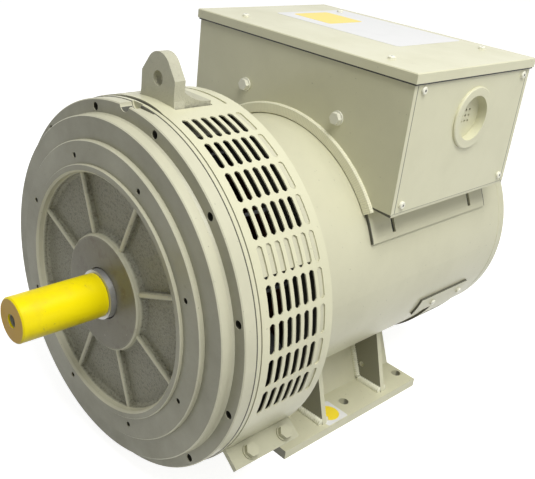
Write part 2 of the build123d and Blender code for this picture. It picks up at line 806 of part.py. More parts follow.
# ---------------------------------------------------------------- bearings
def bearing_rings(b):
    span = b["out"] - b["bore"]
    t = span * ring_t_ratio
    mid = (b["out"] + b["bore"]) / 2
    y0, y1 = b["y0"], b["y0"] + b["width"]
    groove = Pos(0, (y0 + y1) / 2, 0) * Rot(90, 0, 0) * Torus(mid, b["ball"] + ball_clear)
    outer = ring(b["out"] - t, b["out"], y0, y1) - groove
    inner = ring(b["bore"], b["bore"] + t, y0, y1) - groove
    return outer, inner


def bearing_cage(b):
    mid = (b["out"] + b["bore"]) / 2
    yc = b["y0"] + b["width"] / 2
    half = b["ball"] * 0.55
    band = ring(mid - cage_half_t, mid + cage_half_t, yc - half, yc + half)
    balls = []
    for i in range(b["balls"]):
        x, z = polar(mid, (i + 0.5) * 360 / b["balls"])
        balls.append(Pos(x, yc, z) * Sphere(b["ball"]))
    return Compound(children=[band - balls] + balls)


def de_bearing_cap():
    y0 = de_brg["y0"] + de_brg["width"]
    body = ring(collar_r + 1.5, hub_r, y0, y0 + cap_t)
    return body


def nde_bearing_cap():
    y1 = nde_hub_y0
    return ring(nde_shoulder_r + 1.5, nde_hub_r, y1 - cap_t, y1)


# ---------------------------------------------------------------- turning parts
def shaft():
    body = turned([(0, shaft_end), (shaft_ext_r - 2, shaft_end), (shaft_ext_r, shaft_end + 2),
                   (shaft_ext_r, shaft_shoulder), (de_seat_r, shaft_shoulder), (de_seat_r, de_seat_end),
                   (collar_r, de_seat_end), (collar_r, collar_end), (core_seat_r, collar_end),
                   (core_seat_r, core_seat_end), (exciter_seat_r, core_seat_end),
                   (exciter_seat_r, exciter_seat_end), (nde_shoulder_r, exciter_seat_end),
                   (nde_shoulder_r, nde_seat_y), (nde_seat_r, nde_seat_y), (nde_seat_r, shaft_rear - 1),
                   (nde_seat_r - 1, shaft_rear), (0, shaft_rear)])
    tap = rod_y(tap_end_r, shaft_end - 1, shaft_end + tap_end_depth)
    keyway = block(-key_w / 2, key_w / 2, key_y0, key_y0 + key_len, shaft_ext_r - key_seat, shaft_ext_r + 2)
    return body - [tap, keyway]


def shaft_sleeve():
    r_in = shaft_ext_r + sleeve_clear
    body = turned([(0, sleeve_front), (sleeve_r - 2, sleeve_front), (sleeve_r, sleeve_front + 2),
                   (sleeve_r, sleeve_rear), (r_in, sleeve_rear), (r_in, shaft_end - sleeve_clear),
                   (0, shaft_end - sleeve_clear)])
    hole = rod_y(sleeve_hole_r, sleeve_front - 1, shaft_end)
    return body - hole


def slinger():
    return ring(shaft_ext_r, slinger_r, slinger_front, shaft_shoulder)


def fan():
    plate = ring(fan_hub_r - 2, fan_r, fan_y0, fan_y0 + fan_plate_t)
    hub = ring(core_seat_r, fan_hub_r, collar_end, collar_end + fan_hub_len)
    joint = ring(core_seat_r + 1, fan_hub_r, fan_y0, collar_end + 2)
    blades = []
    for i in range(fan_blades):
        blade = block(fan_eye_r, fan_r - 3, fan_y0 + fan_plate_t - 1, fan_y0 + fan_depth,
                      -fan_blade_t / 2, fan_blade_t / 2)
        blade = Pos(fan_eye_r, 0, 0) * Rot(0, fan_sweep, 0) * Pos(-fan_eye_r, 0, 0) * blade
        blades.append(Rot(0, -i * 360 / fan_blades, 0) * blade)
    keep = ring(core_seat_r, fan_r, fan_y0, fan_y0 + fan_depth)
    return plate.fuse(hub, joint, *[b & keep for b in blades])


def rotor_core():
    body = ring(core_seat_r, pole_root_r + 4, core_y0, core_y1)
    pieces = []
    disc = rod_y(rotor_r, core_y0, core_y1)
    bore = rod_y(core_seat_r, core_y0 - 1, core_y1 + 1)
    for i in range(pole_count):
        a = i * 360 / pole_count + 45
        pole = block(0, rotor_r - 4, core_y0, core_y1, -pole_w / 2, pole_w / 2)
        shoe = block(rotor_r - pole_shoe_t - 20, rotor_r + 5, core_y0, core_y1, -pole_shoe_w / 2,
                     pole_shoe_w / 2)
        pieces += [Rot(0, -a, 0) * (pole & disc), Rot(0, -a, 0) * (shoe & disc)]
    return body.fuse(*pieces) - bore


def rotor_coils():
    out = []
    r_a = pole_shoe_w / 2 - 4
    r_b = rotor_r - pole_shoe_t - 20
    for i in range(pole_count):
        a = i * 360 / pole_count + 45
        outer = block(r_a, r_b, core_y0 - 28, core_y1 + 28, -pole_w / 2 - coil_w, pole_w / 2 + coil_w)
        inner = block(r_a - 1, r_b + 1, core_y0, core_y1, -pole_w / 2, pole_w / 2)
        out.append(Rot(0, -a, 0) * (outer - inner))
    return Compound(children=out)


def exciter_rotor():
    core = ring(exciter_seat_r, exc_rotor_r, exc_y0, exc_y1)
    heads = ring(52, exc_rotor_r - 6, exc_y0 - 0.0, exc_y1 + exc_coil_over)
    return core + heads


def exciter_stator():
    inner_r = exc_rotor_r + exc_gap
    body = ring(exc_stator_r - 20, exc_stator_r, exc_y0, exc_y1)
    poles = []
    for i in range(8):
        tooth = block(inner_r - 4, exc_stator_r - 10, exc_y0, exc_y1, -12, 12)
        poles.append(Rot(0, -(22.5 + 45 * i), 0) * tooth)
    return body.fuse(*poles) - rod_y(inner_r, exc_y0 - 1, exc_y1 + 1)


def exciter_coils():
    out = []
    r_a, r_b = exc_rotor_r + 8, exc_stator_r - 20
    for i in range(8):
        coil = block(r_a, r_b - 1.5, exc_y0 - 8, exc_y1 + 8, -20, 20) - block(
            r_a - 1, r_b + 1, exc_y0, exc_y1, -12, 12)
        out.append(Rot(0, -(22.5 + 45 * i), 0) * coil)
    return Compound(children=out)


def rectifier_plate():
    body = ring(exciter_seat_r, rect_r, rect_y0, rect_y0 + rect_t)
    cuts = []
    for i in range(diode_count):
        x, z = polar(diode_circle_r, i * 360 / diode_count)
        cuts.append(rod_y(3.0, rect_y0 - 1, rect_y0 + rect_t + 1, x, z))
    return body - cuts


def diodes():
    out = []
    for i in range(diode_count):
        x, z = polar(diode_circle_r, i * 360 / diode_count)
        y1 = rect_y0 + rect_t
        out.append(rod_y(diode_r, y1, y1 + diode_h, x, z) + rod_y(3.0, rect_y0, y1 + 1, x, z))
    return Compound(children=out)


# ---------------------------------------------------------------- assembly
place = Location((0, -face_to_feet, shaft_height))
de_outer, de_inner = bearing_rings(de_brg)
nde_outer, nde_inner = bearing_rings(nde_brg)
foot_r = foot()

nodes = {
    "de_endframe": de_endframe(),
    "spacer_ring": spacer_ring(),
    "fan_housing": fan_cage(),
    "lifting_lug": lifting_lug(),
    "air_screen": air_screen(),
    "screen_lower": screen_lower(),
    "screen_bolts": screen_bolts(),
    "stator_frame": stator_frame(),
    "foot_right": foot_r,
    "foot_left": mirror(foot_r, Plane.YZ),
    "stator_core": stator_core(),
    "stator_winding": stator_winding(),
    "nde_bracket": nde_bracket(),
    "nde_cover": nde_cover(),
    "nde_screws": nde_screws(),
    "inlet_guard": inlet_guard(),
    "guard_screws": guard_screws(),
    "box_front": end_panel(True),
    "box_rear": end_panel(False),
    "box_side_right": box_side_right(),
    "box_side_left": box_side_left(),
    "box_lid": box_lid(),
    "box_saddle": box_saddle(),
    "trim_front": arch_trim(True),
    "trim_rear": arch_trim(False),
    "box_bolts": box_bolts(),
    "side_screws": side_screws(),
    "lid_screws": lid_screws(),
    "entry_plug": entry_plug(),
    "terminal_board": terminal_board(),
    "terminal_studs": terminal_studs(),
    "voltage_regulator": voltage_regulator(),
    "de_bearing_outer": de_outer,
    "nde_bearing_outer": nde_outer,
    "de_bearing_cap": de_bearing_cap(),
    "nde_bearing_cap": nde_bearing_cap(),
    "exciter_stator": exciter_stator(),
    "exciter_coils": exciter_coils(),
    "shaft": shaft(),
    "slinger": slinger(),
    "de_bearing_inner": de_inner,
    "nde_bearing_inner": nde_inner,
    "fan": fan(),
    "rotor_core": rotor_core(),
    "rotor_coils": rotor_coils(),
    "exciter_rotor": exciter_rotor(),
    "rectifier_plate": rectifier_plate(),
    "diodes": diodes(),
    "de_bearing_cage": bearing_cage(de_brg),
    "nde_bearing_cage": bearing_cage(nde_brg),
    "shaft_sleeve": shaft_sleeve(),
}

os.makedirs("parts", exist_ok=True)
for name, shape in nodes.items():
    export_step(place * shape, f"parts/{name}.step")
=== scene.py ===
import json
import math

import bmesh
import bpy
from mathutils import Matrix, Vector


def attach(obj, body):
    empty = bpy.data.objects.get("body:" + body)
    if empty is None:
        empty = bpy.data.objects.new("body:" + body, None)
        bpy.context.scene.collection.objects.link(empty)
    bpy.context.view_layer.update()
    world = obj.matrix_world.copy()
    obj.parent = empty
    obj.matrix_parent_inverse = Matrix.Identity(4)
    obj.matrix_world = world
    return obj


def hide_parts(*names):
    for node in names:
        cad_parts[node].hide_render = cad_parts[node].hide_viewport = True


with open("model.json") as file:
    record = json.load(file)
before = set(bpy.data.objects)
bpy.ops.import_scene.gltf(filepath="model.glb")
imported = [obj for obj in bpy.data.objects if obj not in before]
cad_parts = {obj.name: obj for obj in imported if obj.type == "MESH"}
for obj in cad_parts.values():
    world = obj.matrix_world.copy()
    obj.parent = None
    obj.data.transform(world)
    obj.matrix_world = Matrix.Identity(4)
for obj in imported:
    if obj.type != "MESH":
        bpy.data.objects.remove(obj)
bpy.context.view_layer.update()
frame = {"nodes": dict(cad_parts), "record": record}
nodes = frame["nodes"]

# ------------------------------------------------------------ the frame (m)
# Origin at the feet, shaft line SHAFT_Z above it, engine flange at FACE_Y.
SHAFT_Z = 0.280
FACE_Y = -0.374

# The camera stands to the right of the drive end and looks down a little.
CAMERA_AT = (0.8407, -0.9588, 0.8499)
CAMERA_AZIMUTH = 43.386
CAMERA_ELEVATION = 24.78
CAMERA_ROLL = 6.894
CAMERA_LENS = 52.6
SENSOR = 36.0

# Lid top and foot top, where the labels lie.
LID_TOP = 0.6304
FOOT_TOP = 0.016

# Drive-end casting: radii about the shaft line, depths from the flange face.
DISH_EDGE = (0.1765, 0.1775)
HUB_EDGE = (0.0872, 0.0885)
HUB_CORNER = (0.082, 0.088)
DISH_DEPTH = (-0.024, -0.020)
RIB_CROWN = (-0.0218, -0.0232)
FLANGE_HOLES_R = (0.2588, 0.2714)
FLANGE_HOLES_Y = (0.0010, 0.0185)
TAPPED_HOLES_R = (0.1970, 0.2060)
TAPPED_HOLES_Y = (-0.0268, -0.0125)
FAN_SPACE_Y = (0.028, 0.034)
FAN_SPACE_R = (0.2738, 0.2748)
SPACER_MIDDLE = 0.0233
SPACER_HALF = 0.0041

# Terminal box along the shaft, from the flange face, and its side panels' height.
BOX_FRONT = 0.316
BOX_BACK = 0.632
BOX_MIDDLE = 0.474
BOX_HALF = 0.158
PANEL_HALF_Y = 0.1555
PANEL_MIDDLE_Z = 0.5221
PANEL_HALF_Z = 0.1054
PANEL_SEAM_IN = 0.0058

# Screws of the side panels and the lid: middle of each pattern and half its pitch.
SIDE_SCREWS_MIDDLE = (FACE_Y + 0.475, SHAFT_Z + 0.237)
SIDE_SCREWS_HALF = (0.137, 0.087)
LID_SCREWS_MIDDLE = (0.0, FACE_Y + BOX_MIDDLE)
LID_SCREWS_HALF = (0.158, 0.122)

# Saddle plate under the box.
SADDLE_R = 0.2214
SADDLE_WALL = 0.0042
SADDLE_LOW = math.radians(20.8)
SADDLE_TOP = (math.radians(31), math.radians(35), math.radians(38.5))
SADDLE_SLOT = (math.radians(23.0), math.radians(28.6))
SADDLE_SLOT_YS = (0.371, 0.585)
SADDLE_SLOT_HALF = 0.0040
SADDLE_SLOT_FLOOR_R = 0.2219
SADDLE_SLOT_MARGIN_Y = 0.0052
SADDLE_SLOT_MARGIN_A = 0.006
BOX_LEDGE_X = 0.2315
BOX_LEDGE_Z = 0.1368

# Feet: gussets along the shaft, and where the beads lie on them.
GUSSET_YS = (0.298, 0.457)
GUSSET_HALF = 0.005
FOOT_WELD = ((0.137, 0.0165), (0.190, 0.0185), 0.0072)
WEB_WELD = ((0.1345, 0.019), (0.108, 0.081), 0.0068)
FRAME_WELD = (0.1055, 0.0852, 0.0050)
FOOT_ENDS = (0.196, 0.539)

# Colours: paint, fasteners, weld beads, edging, sleeve and labels.
STONE = (0.58, 0.565, 0.400)
STONE_SHEET = (0.63, 0.615, 0.43)
STONE_CAST = (0.56, 0.545, 0.40)
BOLT = (0.78, 0.77, 0.64)
# WELD is the paint made lighter: painted highlight on the raised beads.
WELD = (0.72, 0.71, 0.55)
TRIM = (0.84, 0.82, 0.60)
YELLOW = (0.90, 0.74, 0.002)
LABEL_WHITE = (0.70, 0.70, 0.69)
LABEL_YELLOW = (0.86, 0.66, 0.03)


# ------------------------------------------------------------ shader helpers
class Graph:
    """A material's node tree with short calls for the nodes used here."""

    def __init__(self, name):
        self.material = bpy.data.materials.new(name)
        self.material.use_nodes = True
        self.nodes = self.material.node_tree.nodes
        self.links = self.material.node_tree.links
        self.bsdf = self.nodes["Principled BSDF"]
        self.place = self.nodes.new("ShaderNodeTexCoord").outputs["Object"]

    def noise(self, scale, detail=4.0, rough=0.55):
        node = self.nodes.new("ShaderNodeTexNoise")
        node.inputs["Scale"].default_value = scale
        node.inputs["Detail"].default_value = detail
        node.inputs["Roughness"].default_value = rough
        self.links.new(self.place, node.inputs["Vector"])
        return node.outputs["Fac"]

    def ramp(self, value, low, high, to_low=0.0, to_high=1.0):
        node = self.nodes.new("ShaderNodeMapRange")
        node.inputs["From Min"].default_value = low
        node.inputs["From Max"].default_value = high
        node.inputs["To Min"].default_value = to_low
        node.inputs["To Max"].default_value = to_high
        self.links.new(value, node.inputs["Value"])
        return node.outputs["Result"]

    def math(self, kind, a, b=None):
        node = self.nodes.new("ShaderNodeMath")
        node.operation = kind
        for slot, value in zip(node.inputs, (a, b)):
            if value is None:
                continue
            if isinstance(value, (int, float)):
                slot.default_value = value
            else:
                self.links.new(value, slot)
        return node.outputs["Value"]

    def mix(self, factor, a, b):
        node = self.nodes.new("ShaderNodeMix")
        node.data_type = "RGBA"
        self.links.new(factor, node.inputs["Factor"])
        for slot, value in ((node.inputs["A"], a), (node.inputs["B"], b)):
            if isinstance(value, tuple):
                slot.default_value = (*value, 1)
            else:
                self.links.new(value, slot)
        return node.outputs["Result"]

    def axes(self):
        node = self.nodes.new("ShaderNodeSeparateXYZ")
        self.links.new(self.place, node.inputs[0])
        return node.outputs

    def facing(self, axis, low, high):
        """1 where the normal's part along an axis is past high, 0 short of low."""
        split = self.nodes.new("ShaderNodeSeparateXYZ")
        texture = self.nodes.new("ShaderNodeTexCoord")
        self.links.new(texture.outputs["Normal"], split.inputs[0])
        return self.ramp(split.outputs[axis], low, high, 0.0, 1.0)

    def faces_front(self):
        """1 on surfaces that face the engine, 0 on the rest."""
        return self.facing(1, -0.80, -0.96)

    def both(self, a, b):
        """The product of two masks."""
        return self.math("MULTIPLY", a, b)

    def beyond(self, value, middle, half):
        """How far a coordinate lies outside middle +- half."""
        off = self.math("ABSOLUTE", self.math("SUBTRACT", value, middle))
        return self.math("SUBTRACT", off, half)

    def shaft_radius(self):
        """Distance from the shaft line."""
        x, _, z = self.axes()
        up = self.math("SUBTRACT", z, SHAFT_Z)
        square = self.math("ADD", self.math("MULTIPLY", x, x), self.math("MULTIPLY", up, up))
        return self.math("SQRT", square)

    def between(self, value, low, high):
        """1 where a value lies between two limits, with a 0.3 mm soft edge."""
        off = self.beyond(value, (low + high) / 2, (high - low) / 2)
        return self.ramp(off, -0.0003, 0.0, 1.0, 0.0)

    def bump(self, height, strength, distance=0.001, under=None):
        node = self.nodes.new("ShaderNodeBump")
        node.inputs["Strength"].default_value = strength
        node.inputs["Distance"].default_value = distance
        self.links.new(height, node.inputs["Height"])
        if under is not None:
            self.links.new(under, node.inputs["Normal"])
        return node.outputs["Normal"]

    def finish(self, colour=None, rough=None, normal=None, metal=0.0, coat=0.0):
        for name, value in (("Base Color", colour), ("Roughness", rough), ("Normal", normal)):
            if value is None:
                continue
            slot = self.bsdf.inputs[name]
            if isinstance(value, tuple):
                slot.default_value = (*value, 1)
            elif isinstance(value, float):
                slot.default_value = value
            else:
                self.links.new(value, slot)
        self.bsdf.inputs["Metallic"].default_value = metal
        self.bsdf.inputs["Coat Weight"].default_value = coat
        return self.material


def darker(colour, factor):
    return tuple(c * factor for c in colour)


def from_face(offsets):
    """Distances behind the flange face as places along the frame's Y."""
    return [FACE_Y + offset for offset in offsets]


# ------------------------------------------------------------ materials
def machine_paint(name, colour, grain=1100.0, bump=0.10, rough=0.42):
    """Sprayed paint: faint orange peel, soft grime, small dark specks."""
    g = Graph(name)
    cloud = g.noise(7.0, 6.0, 0.62)
    body = g.mix(g.ramp(cloud, 0.40, 0.75, 0.0, 0.5), colour, darker(colour, 0.82))
    specks = g.ramp(g.noise(170.0, 2.0), 0.715, 0.76, 0.0, 0.45)
    body = g.mix(specks, body, darker(colour, 0.42))
    normal = g.bump(g.noise(grain, 3.0), bump)
    return g.finish(body, g.ramp(cloud, 0.3, 0.8, rough - 0.06, rough + 0.14), normal, coat=0.12)


def cast_paint(name, colour):
    """Painted casting: sand texture in the dish, machined outside it; painted shade on the faces that look
    to the engine, in the dish (partly dirt), in the holes and inside the fan band, and painted highlights on
    the rib crowns.
    """
    g = Graph(name)
    radius = g.shaft_radius()
    y = g.axes()[1]
    inside = g.ramp(radius, *DISH_EDGE, 1.0, 0.0)
    outside = g.ramp(radius, *HUB_EDGE, 0.0, 1.0)
    deep = g.ramp(y, *from_face(DISH_DEPTH), 0.0, 1.0)
    dish_sand_and_shade = g.both(g.both(inside, outside), deep)

    cloud = g.noise(9.0, 7.0, 0.65)
    body = g.mix(g.ramp(cloud, 0.38, 0.78, 0.0, 0.6), colour, darker(colour, 0.78))
    # Faces that look to the engine are painted darker: painted shade on the side turned from the lamps.
    front_shade = g.mix(g.ramp(cloud, 0.30, 0.75, 0.0, 1.0), darker(colour, 0.58), darker(colour, 0.42))
    body = g.mix(g.faces_front(), body, front_shade)
    sand = g.noise(240.0, 5.0, 0.7)
    pits = g.ramp(sand, 0.50, 0.62, 0.0, 0.6)
    # The whole dish is painted darker: painted shade in the recess, partly dirt.
    body = g.mix(g.both(dish_sand_and_shade, 0.8), body, darker(colour, 0.50))
    body = g.mix(g.both(pits, dish_sand_and_shade), body, darker(colour, 0.20))
    # The rib crowns get the plain paint back, lighter than the dish round them: painted highlight.
    crown = g.ramp(y, *from_face(RIB_CROWN), 0.0, 0.9)
    rib_crown_highlight = g.both(g.both(inside, outside), crown)
    body = g.mix(rib_crown_highlight, body, colour)
    smear = g.ramp(g.noise(30.0, 5.0, 0.7), 0.52, 0.70, 0.0, 0.7)
    hub = g.ramp(radius, *HUB_CORNER, 1.0, 0.0)
    hub_face = g.both(hub, g.faces_front())
    body = g.mix(g.both(hub_face, 0.9), body, (0.115, 0.105, 0.062))
    body = g.mix(g.both(smear, hub), body, (0.075, 0.052, 0.024))
    specks = g.ramp(g.noise(150.0, 2.0), 0.70, 0.76, 0.0, 0.6)
    body = g.mix(specks, body, darker(colour, 0.40))
    # The bores of the flange's holes and of the tapped holes are painted nearly black: painted shade in the
    # holes.
    hole_bore_shade = g.both(g.between(radius, *FLANGE_HOLES_R), g.between(y, *from_face(FLANGE_HOLES_Y)))
    tapped_bore_shade = g.both(g.between(radius, *TAPPED_HOLES_R), g.between(y, *from_face(TAPPED_HOLES_Y)))
    body = g.mix(g.math("MAXIMUM", hole_bore_shade, tapped_bore_shade), body, darker(colour, 0.10))
    # Behind the flange and inside the fan band the paint is nearly black: painted shade in the fan chamber.
    behind = g.ramp(y, *from_face(FAN_SPACE_Y), 0.0, 1.0)
    within = g.ramp(radius, *FAN_SPACE_R, 1.0, 0.0)
    body = g.mix(g.both(behind, within), body, darker(colour, 0.10))

    fine = g.bump(g.noise(1000.0, 3.0), 0.10)
    height = g.both(sand, dish_sand_and_shade)
    normal = g.bump(height, 1.0, 0.0035, fine)
    return g.finish(body, g.ramp(cloud, 0.3, 0.8, 0.40, 0.62), normal, coat=0.08)


def panel_paint(name, colour, middle_y, half_y, middle_z, half_z):
    """Sprayed sheet with a dark joint line round its border."""
    g = Graph(name)
    _, y, z = g.axes()
    cloud = g.noise(7.0, 6.0, 0.62)
    body = g.mix(g.ramp(cloud, 0.40, 0.75, 0.0, 0.5), colour, darker(colour, 0.82))
    seam = g.math("ABSOLUTE", g.math("ADD", g.beyond(y, middle_y, half_y), PANEL_SEAM_IN))
    across = g.ramp(seam, 0.0005, 0.0011, 0.9, 0.0)
    along = g.ramp(g.beyond(z, middle_z, half_z), -0.0012, -0.0006, 0.0, 0.9)
    body = g.mix(g.math("MAXIMUM", across, along), body, darker(colour, 0.12))
    return g.finish(body, g.ramp(cloud, 0.3, 0.8, 0.32, 0.50), g.bump(g.noise(900.0, 3.0), 0.06), coat=0.12)


def socket_screws(name, colour, flat_axis, middles, halves):
    """Plated button heads with a near-black disc in the middle, painted shade for the socket; flat_axis is
    the screws' own direction.
    """
    g = Graph(name)
    axes = [value for k, value in enumerate(g.axes()) if k != flat_axis]
    offs = [g.beyond(value, m, h) for value, m, h in zip(axes, middles, halves)]
    square = g.math("ADD", g.math("MULTIPLY", offs[0], offs[0]), g.math("MULTIPLY", offs[1], offs[1]))
    radius = g.math("SQRT", square)
    # Near-black disc at each screw's middle: painted shade of a socket.
    body = g.mix(g.ramp(radius, 0.0017, 0.0022, 1.0, 0.0), colour, (0.03, 0.03, 0.02))
    return g.finish(body, 0.35, g.bump(g.noise(600.0, 3.0), 0.06), coat=0.2)


def saddle_paint(name, colour, middle_y, half_y, low_z):
    """Sprayed plate with dark joints at both ends and along its lower edge."""
    g = Graph(name)
    _, y, z = g.axes()
    ends = g.ramp(g.beyond(y, middle_y, half_y), -0.0022, -0.0014, 0.0, 0.95)
    foot = g.ramp(z, low_z + 0.0012, low_z + 0.0005, 0.0, 0.7)
    body = g.mix(g.math("MAXIMUM", ends, foot), colour, darker(colour, 0.08))
    return g.finish(body, 0.42, g.bump(g.noise(1100.0, 3.0), 0.1), coat=0.12)


def spacer_paint(name, colour):
    """Sprayed ring with the dark joints on its two edges."""
    g = Graph(name)
    y = g.axes()[1]
    edge = g.ramp(g.beyond(y, FACE_Y + SPACER_MIDDLE, SPACER_HALF), -0.0015, -0.0008, 0.0, 0.95)
    body = g.mix(edge, colour, darker(colour, 0.10))
    return g.finish(body, 0.42, g.bump(g.noise(1100.0, 3.0), 0.1), coat=0.12)


def weld_paint(name, colour):
    """Paint over a hand-laid bead, in a lighter colour than the paint round it: painted highlight on the
    raised beads.
    """
    g = Graph(name)
    lumps = g.noise(120.0, 4.0, 0.6)
    body = g.mix(g.ramp(lumps, 0.5, 0.75, 0.0, 0.5), colour, darker(colour, 0.7))
    return g.finish(body, 0.34, g.bump(lumps, 0.5, 0.0012), coat=0.25)


def band_paint(name, colour):
    """Sprayed sheet with patchy painted shade towards the floor."""
    g = Graph(name)
    cloud = g.noise(7.0, 6.0, 0.62)
    body = g.mix(g.ramp(cloud, 0.40, 0.75, 0.0, 0.5), colour, darker(colour, 0.82))
    # Below 0.19 m the band is painted darker towards the floor, in patches: painted shade on its underside.
    low = g.ramp(g.axes()[2], 0.19, 0.08, 0.0, 1.0)
    body = g.mix(g.both(low, g.ramp(cloud, 0.2, 0.6, 0.7, 1.0)), body, darker(colour, 0.58))
    specks = g.ramp(g.noise(170.0, 2.0), 0.715, 0.76, 0.0, 0.45)
    body = g.mix(specks, body, darker(colour, 0.42))
    return g.finish(body, g.ramp(cloud, 0.3, 0.8, 0.36, 0.54), g.bump(g.noise(1000.0, 3.0), 0.08), coat=0.12)


def foot_paint(name, colour):
    """Sprayed plate with painted shade on the upright faces that look to the engine."""
    g = Graph(name)
    cloud = g.noise(9.0, 6.0, 0.62)
    body = g.mix(g.ramp(cloud, 0.40, 0.75, 0.0, 0.5), colour, darker(colour, 0.80))
    # Faces that look to the engine are painted dark: painted shade.
    body = g.mix(g.faces_front(), body, darker(colour, 0.36))
    specks = g.ramp(g.noise(150.0, 2.0), 0.70, 0.76, 0.0, 0.5)
    body = g.mix(specks, body, darker(colour, 0.42))
    return g.finish(body, 0.46, g.bump(g.noise(900.0, 3.0), 0.12), coat=0.1)


def guard_paint(name, colour):
    """Sprayed plate whose upward and engine-facing edge faces are painted dark: painted shade."""
    g = Graph(name)
    # Upward and engine-facing faces are painted near-black: painted shade along the edges.
    edges = g.math("MAXIMUM", g.facing(2, 0.55, 0.75), g.facing(1, -0.80, -0.95))
    body = g.mix(edges, colour, darker(colour, 0.16))
    return g.finish(body, 0.44, g.bump(g.noise(1100.0, 3.0), 0.1), coat=0.1)


def raw_cast_paint(name, colour):
    """Thick paint over an as-cast skin."""
    g = Graph(name)
    cloud = g.noise(14.0, 6.0, 0.65)
    body = g.mix(g.ramp(cloud, 0.38, 0.78, 0.0, 0.6), colour, darker(colour, 0.78))
    sand = g.noise(230.0, 5.0, 0.65)
    body = g.mix(g.ramp(sand, 0.58, 0.72, 0.0, 0.4), body, darker(colour, 0.60))
    return g.finish(body, 0.5, g.bump(sand, 0.8, 0.0016), coat=0.1)


def edge_trim(name):
    """Clip-on edging with a close row of moulded ribs across it."""
    g = Graph(name)
    x, _, z = g.axes()
    angle = g.math("ARCTAN2", g.math("SUBTRACT", z, SHAFT_Z), x)
    comb = g.math("SINE", g.math("MULTIPLY", angle, 420.0))
    body = g.mix(g.ramp(comb, 0.2, 0.9, 0.0, 0.22), TRIM, darker(TRIM, 0.6))
    return g.finish(body, 0.6, g.bump(comb, 0.3, 0.0004))


def sleeve_plastic(name):
    """Thin yellow polythene cap with handling dirt, and painted shade on its underside and on its end that
    looks to the engine.
    """
    g = Graph(name)
    cloud = g.noise(18.0, 6.0, 0.6)
    body = g.mix(g.ramp(cloud, 0.48, 0.75, 0.0, 0.6), YELLOW, (0.60, 0.44, 0.03))
    marks = g.ramp(g.noise(60.0, 4.0, 0.7), 0.64, 0.72, 0.0, 0.7)
    body = g.mix(marks, body, (0.30, 0.24, 0.05))
    # Below the shaft line the cap is painted darker, in patches: painted shade.
    under = g.ramp(g.axes()[2], SHAFT_Z - 0.006, SHAFT_Z - 0.030, 0.0, 0.8)
    body = g.mix(g.both(under, g.ramp(cloud, 0.3, 0.6, 0.5, 1.0)), body, (0.20, 0.15, 0.02))
    # The cap's end that looks to the engine is painted a darker orange: painted shade.
    body = g.mix(g.both(g.faces_front(), 0.95), body, (0.52, 0.29, 0.0))
    g.bsdf.inputs["Specular IOR Level"].default_value = 0.15
    return g.finish(body, g.ramp(cloud, 0.3, 0.8, 0.28, 0.48), g.bump(g.noise(240.0), 0.05))


def metal(name, colour, rough):
    """Bare metal with a cloudy, slightly brushed surface."""
    g = Graph(name)
    cloud = g.noise(40.0, 5.0, 0.6)
    body = g.mix(g.ramp(cloud, 0.4, 0.75, 0.0, 0.6), colour, darker(colour, 0.6))
    return g.finish(body, g.ramp(cloud, 0.3, 0.8, rough, rough + 0.2),
                    g.bump(g.noise(500.0, 3.0), 0.08), metal=1.0)


def dull(name, colour, rough=0.6):
    """Plain matt surface with soft clouds."""
    g = Graph(name)
    cloud = g.noise(30.0, 5.0, 0.6)
    body = g.mix(g.ramp(cloud, 0.4, 0.75, 0.0, 0.5), colour, darker(colour, 0.6))
    return g.finish(body, rough, g.bump(g.noise(400.0, 3.0), 0.15))


def label_film(name, colour):
    """Smooth printed film with light handling marks."""
    g = Graph(name)
    cloud = g.noise(25.0, 5.0, 0.6)
    body = g.mix(g.ramp(cloud, 0.5, 0.8, 0.0, 0.3), colour, darker(colour, 0.85))
    return g.finish(body, 0.35, g.bump(g.noise(90.0, 2.0), 0.04), coat=0.2)


# ------------------------------------------------------------ dress the CAD nodes
# One finish for each material slot of the record.
FINISHES = {
    "machine_paint": machine_paint("machine_paint", STONE),
    "cast_paint": cast_paint("cast_paint", STONE_CAST),
    "sheet_paint": machine_paint("sheet_paint", STONE_SHEET, grain=900.0, bump=0.06, rough=0.36),
    "edge_trim": edge_trim("edge_trim"),
    "sleeve_yellow": sleeve_plastic("sleeve_yellow"),
    "bare_steel": metal("bare_steel", (0.46, 0.46, 0.44), 0.45),
    "bearing_steel": metal("bearing_steel", (0.62, 0.62, 0.62), 0.2),
    "core_steel": dull("core_steel", (0.07, 0.07, 0.075)),
    "copper_winding": dull("copper_winding", (0.16, 0.055, 0.02), 0.4),
    # The fan's aluminium is given near-black: painted shade inside the fan chamber.
    "fan_aluminium": metal("fan_aluminium", (0.10, 0.10, 0.10), 0.55),
    "zinc_bolts": machine_paint("painted_bolts", BOLT, rough=0.30),
    "board_black": dull("board_black", (0.03, 0.03, 0.03)),
    "stud_brass": metal("stud_brass", (0.70, 0.50, 0.20), 0.32),
}
SLOT_OF = {row["node"]: row["material_slot"] for row in frame["record"]["subparts"]}


def dress(obj, material):
    obj.data.materials.clear()
    obj.data.materials.append(material)


